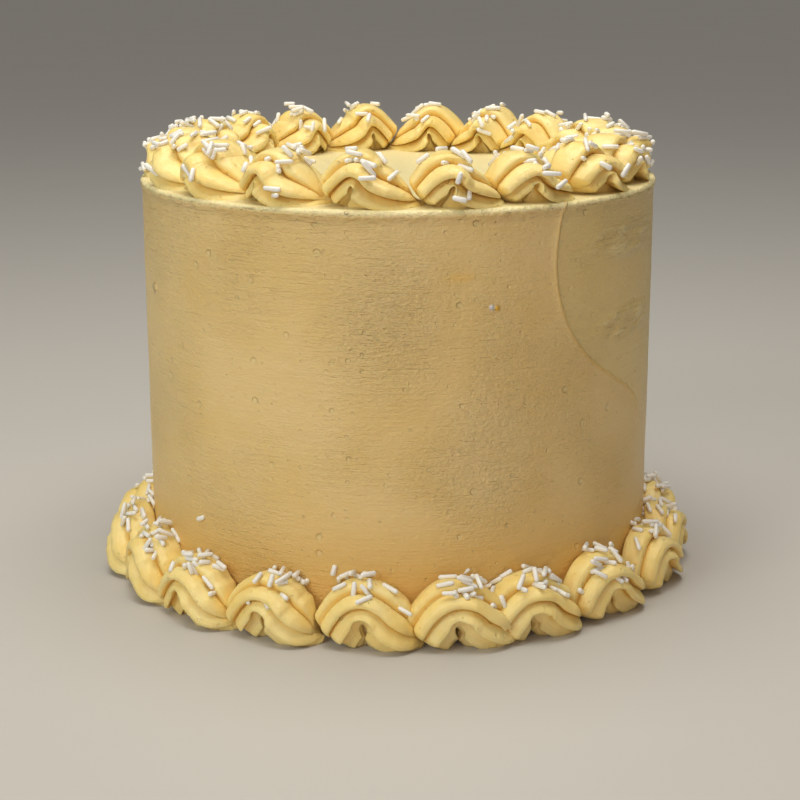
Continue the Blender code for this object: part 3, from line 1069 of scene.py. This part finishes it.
def gap_between(one, other):
    """Roughly how near the middle lines of two strands come."""
    (middle, lie, size), (far_middle, far_lie, far_size) = one, other
    start, step = middle - lie * size / 2, lie * size
    far_start, far_step = far_middle - far_lie * far_size / 2, far_lie * far_size
    there = far_middle
    for _ in range(4):
        here = nearest_on(start, step, there)
        there = nearest_on(far_start, far_step, here)
    return (here - there).length


def strew_on_shell(shell, seed, count, strands):
    """Where the strands of one shell lie: middle, direction and length. Most fall in heaps. One that
    would cut through another is lifted step by step, and left out if that doesn't help."""
    chance = random.Random(seed)
    rope = RopeMap(shell)
    highest = CAD_BOX[1].z
    widest = min(CAD_BOX[1].x, CAD_BOX[1].y, -CAD_BOX[0].x, -CAD_BOX[0].y)
    heaps = [(chance.uniform(*HEAP_ALONG), chance.uniform(*HEAP_AROUND)) for _ in range(HEAPS)]
    laid = []
    while len(laid) < count:
        if chance.random() < strands.scattered:
            along, around = chance.uniform(*SCATTERED_ALONG), chance.uniform(*SCATTERED_AROUND)
        else:
            heap_along, heap_around = chance.choice(heaps)
            along = chance.gauss(heap_along, HEAP_SPREAD[0])
            around = chance.gauss(heap_around, HEAP_SPREAD[1])
        size = chance.uniform(strands.shortest, strands.longest)
        spot, normal = rope.at(min(max(along, STREWN_ALONG[0]), STREWN_ALONG[1]), around)
        flat = Matrix.Rotation(chance.uniform(0, math.tau), 3, normal) @ normal.orthogonal()
        tilt = chance.gauss(0, TIPPING)
        lie = (flat.normalized() * math.cos(tilt) + normal * math.sin(tilt)).normalized()
        tipped = abs(math.sin(tilt)) * size * TIPPING_LIFT
        middle = spot + normal * (strands.radius * 2 * strands.sink + tipped)
        for step in range(STACKING_STEPS):
            lifted = middle + normal * strands.radius * STACKING_LIFT * step
            strand = (lifted, lie, size)
            clear = all(gap_between(strand, other) > strands.radius * CROSSING_GAP for other in laid)
            top = lifted.z + abs(lie.z) * size / 2 + strands.radius
            outermost = math.hypot(lifted.x, lifted.y) + size / 2
            if clear and top < highest and outermost < widest:
                laid.append(strand)
                break
    return laid


def lay_strays(strands):
    """Where the strands lie that stick to the wall: middle, direction and length."""
    laid = []
    for degrees, height, slant in WALL_STRAYS:
        angle = math.radians(degrees)
        outward = Vector((math.sin(angle), -math.cos(angle), 0))
        level = Vector((math.cos(angle), math.sin(angle), 0))
        lie = level * math.cos(math.radians(slant)) + Vector((0, 0, math.sin(math.radians(slant))))
        stand_out = strands.radius * (1 - 2 * strands.sink)
        laid.append((outward * (CAKE_RADIUS + stand_out) + Vector((0, 0, height)), lie, strands.shortest))
    return laid


def strand_points(laid, strands):
    """A mesh of bare points that carry each strand's direction, stretch and plumpness."""
    points = bpy.data.meshes.new("strand_points")
    points.from_pydata([middle for middle, _, _ in laid], [], [])
    chance = random.Random(5)
    lies = [part for _, direction, _ in laid for part in direction]
    stretches = [size / nominal_length(strands) for _, _, size in laid]
    plumps = [chance.uniform(0.92, 1.08) for _ in laid]
    points.attributes.new("lie", "FLOAT_VECTOR", "POINT").data.foreach_set("vector", lies)
    points.attributes.new("stretch", "FLOAT", "POINT").data.foreach_set("value", stretches)
    points.attributes.new("plump", "FLOAT", "POINT").data.foreach_set("value", plumps)
    return points


def nominal_length(strands):
    return (strands.shortest + strands.longest) / 2


# Operators


class CAKE_OT_set_stage(bpy.types.Operator):
    """Lays the pale floor and sets up the lights and the camera"""

    bl_idname = "lemon_cake.set_stage"
    bl_label = "Set the stage"

    def execute(self, context):
        scene = context.scene
        studio = scene.lemon_cake.studio
        lay_floor(floor_finish(scene.lemon_cake.colours))
        set_camera(scene, studio)
        light_room(scene, studio)
        scene.view_settings.view_transform = "Standard"
        return {"FINISHED"}


class CAKE_OT_ice_cake(bpy.types.Operator):
    """Coats the cake with scraped buttercream"""

    bl_idname = "lemon_cake.ice_cake"
    bl_label = "Ice the cake"

    def execute(self, context):
        cake = context.scene.lemon_cake
        values = set_on(cake.icing, ICING_SIZES + ICING_STEPS)
        values["Material"] = scraped_icing(cake.colours)
        coat = grown("scraped_icing", icing_tree(), values)
        closed_above(coat)
        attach(coat, "root")
        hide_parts("iced_cake")
        return {"FINISHED"}


class CAKE_OT_pipe_rim(bpy.types.Operator):
    """Pipes the ring of shells on the cake's rim"""

    bl_idname = "lemon_cake.pipe_rim"
    bl_label = "Pipe the rim"

    def execute(self, context):
        pipe_border(context.scene.lemon_cake.rim, "rim_shell", RIM_STATIONS, RIM_SUNK)
        return {"FINISHED"}


class CAKE_OT_pipe_foot(bpy.types.Operator):
    """Pipes the ring of shells round the cake's foot"""

    bl_idname = "lemon_cake.pipe_foot"
    bl_label = "Pipe the foot"

    def execute(self, context):
        pipe_border(context.scene.lemon_cake.foot, "foot_shell", FOOT_STATIONS, 0.0)
        return {"FINISHED"}


class CAKE_OT_strew_sugar(bpy.types.Operator):
    """Strews white sugar strands over both borders"""

    bl_idname = "lemon_cake.strew_sugar"
    bl_label = "Strew sugar strands"

    def execute(self, context):
        cake = context.scene.lemon_cake
        laid = lay_strays(cake.strands)
        for border, node_name in ((cake.rim, "rim_shell"), (cake.foot, "foot_shell")):
            for number, _, seed in shell_shapes(border, cake.spread):
                shell = bpy.data.objects[f"piped_{node_name}_{number:02d}"]
                laid += strew_on_shell(shell, seed, border.strands, cake.strands)
        values = {
            "Radius": cake.strands.radius,
            "Length": nominal_length(cake.strands),
            "Material": sugar(cake.colours),
        }
        strewn = grown("sugar_strands", strand_tree(), values, strand_points(laid, cake.strands))
        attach(strewn, "root")
        return {"FINISHED"}


class CAKE_PT_panel(bpy.types.Panel):
    """The cake's steps and sizes in the sidebar"""

    bl_idname = "CAKE_PT_panel"
    bl_label = "Lemon cake"
    bl_space_type = "VIEW_3D"
    bl_region_type = "UI"
    bl_category = "Cake"

    def draw(self, context):
        cake = context.scene.lemon_cake
        for step in STEPS:
            self.layout.operator(step.bl_idname)
        for group_name in SETTINGS:
            group = getattr(cake, group_name)
            box = self.layout.box()
            box.label(text=group_name.capitalize())
            for name in type(group).__annotations__:
                box.prop(group, name)


# The stage


def lay_floor(finish):
    bpy.ops.mesh.primitive_plane_add(size=FLOOR_SIZE)
    floor = bpy.context.object
    floor.name = "floor"
    floor.data.materials.append(finish)


def set_camera(scene, studio):
    camera = bpy.data.objects.new("camera", bpy.data.cameras.new("camera"))
    scene.collection.objects.link(camera)
    camera.data.lens = studio.lens
    camera.data.sensor_width = 36.0
    camera.location = (0.0, -studio.distance, studio.camera_height)
    level = math.pi / 2 - studio.pitch
    aim = Matrix.Rotation(-studio.yaw, 3, "Z") @ Matrix.Rotation(level, 3, "X")
    aim = aim @ Matrix.Rotation(-studio.roll, 3, "Z")
    camera.rotation_euler = aim.to_euler()
    scene.camera = camera


def soft_light(scene, light_plan, watts):
    """An area light that faces the cake's middle."""
    name, place, width, height, tint = light_plan
    light = bpy.data.objects.new(name, bpy.data.lights.new(name, "AREA"))
    scene.collection.objects.link(light)
    light.data.shape = "RECTANGLE"
    light.data.size = width
    light.data.size_y = height
    light.data.energy = watts
    light.data.color = tint
    light.location = place
    light.rotation_euler = (Vector(LIT_POINT) - Vector(place)).to_track_quat("-Z", "Y").to_euler()


def light_room(scene, studio):
    """Three soft lights, and a room that is lighter behind the camera and overhead."""
    soft_light(scene, OVERHEAD, studio.overhead)
    soft_light(scene, WINDOW, studio.window)
    soft_light(scene, FRONT, studio.front)
    world = bpy.data.worlds.new("room")
    world.use_nodes = True
    background = world.node_tree.nodes["Background"]
    maker = NodeMaker(world.node_tree)
    side, depth, up = maker.separate(maker.add("ShaderNodeTexCoord", output="Generated"))
    share_lit = 1 - maker.step(side * 0.5 + depth * 0.8, -0.9, 0.5)
    shade = maker.mix_colour(share_lit, opaque(DARK_ROOM), opaque(LIGHT_ROOM))
    shade = maker.mix_colour(maker.step(up, 0.65, 0.98), shade, opaque(CEILING))
    maker.feed(background.inputs["Color"], shade)
    background.inputs["Strength"].default_value = studio.room
    scene.world = world


class LemonCake(bpy.types.PropertyGroup):
    """Everything that can be set on the cake."""

    icing: bpy.props.PointerProperty(type=CakeIcing, name="Icing", description="The scraped coat")
    rim: bpy.props.PointerProperty(type=RimBorder, name="Rim", description="The border on the rim")
    foot: bpy.props.PointerProperty(type=FootBorder, name="Foot", description="The border round the foot")
    spread: bpy.props.PointerProperty(type=ShellSpread, name="Spread", description="How uneven shells are")
    strands: bpy.props.PointerProperty(type=SugarStrands, name="Strands", description="The sugar strands")
    colours: bpy.props.PointerProperty(type=CakeColours, name="Colours", description="All colours")
    studio: bpy.props.PointerProperty(type=Studio, name="Studio", description="Camera and lights")


SETTINGS = ("icing", "rim", "foot", "spread", "strands", "colours", "studio")
STEPS = (CAKE_OT_set_stage, CAKE_OT_ice_cake, CAKE_OT_pipe_rim, CAKE_OT_pipe_foot, CAKE_OT_strew_sugar)
GROUPS = (CakeIcing, RimBorder, FootBorder, ShellSpread, SugarStrands, CakeColours, Studio, LemonCake)


def register():
    for kind in (*GROUPS, *STEPS, CAKE_PT_panel):
        bpy.utils.register_class(kind)
    bpy.types.Scene.lemon_cake = bpy.props.PointerProperty(
        type=LemonCake, name="Lemon cake", description="The cake's sizes, colours and light"
    )


def unregister():
    del bpy.types.Scene.lemon_cake
    for kind in reversed((*GROUPS, *STEPS, CAKE_PT_panel)):
        bpy.utils.unregister_class(kind)


def main():
    register()
    bpy.ops.lemon_cake.set_stage()
    bpy.ops.lemon_cake.ice_cake()
    bpy.ops.lemon_cake.pipe_rim()
    bpy.ops.lemon_cake.pipe_foot()
    bpy.ops.lemon_cake.strew_sugar()


if __name__ == "__main__":
    main()
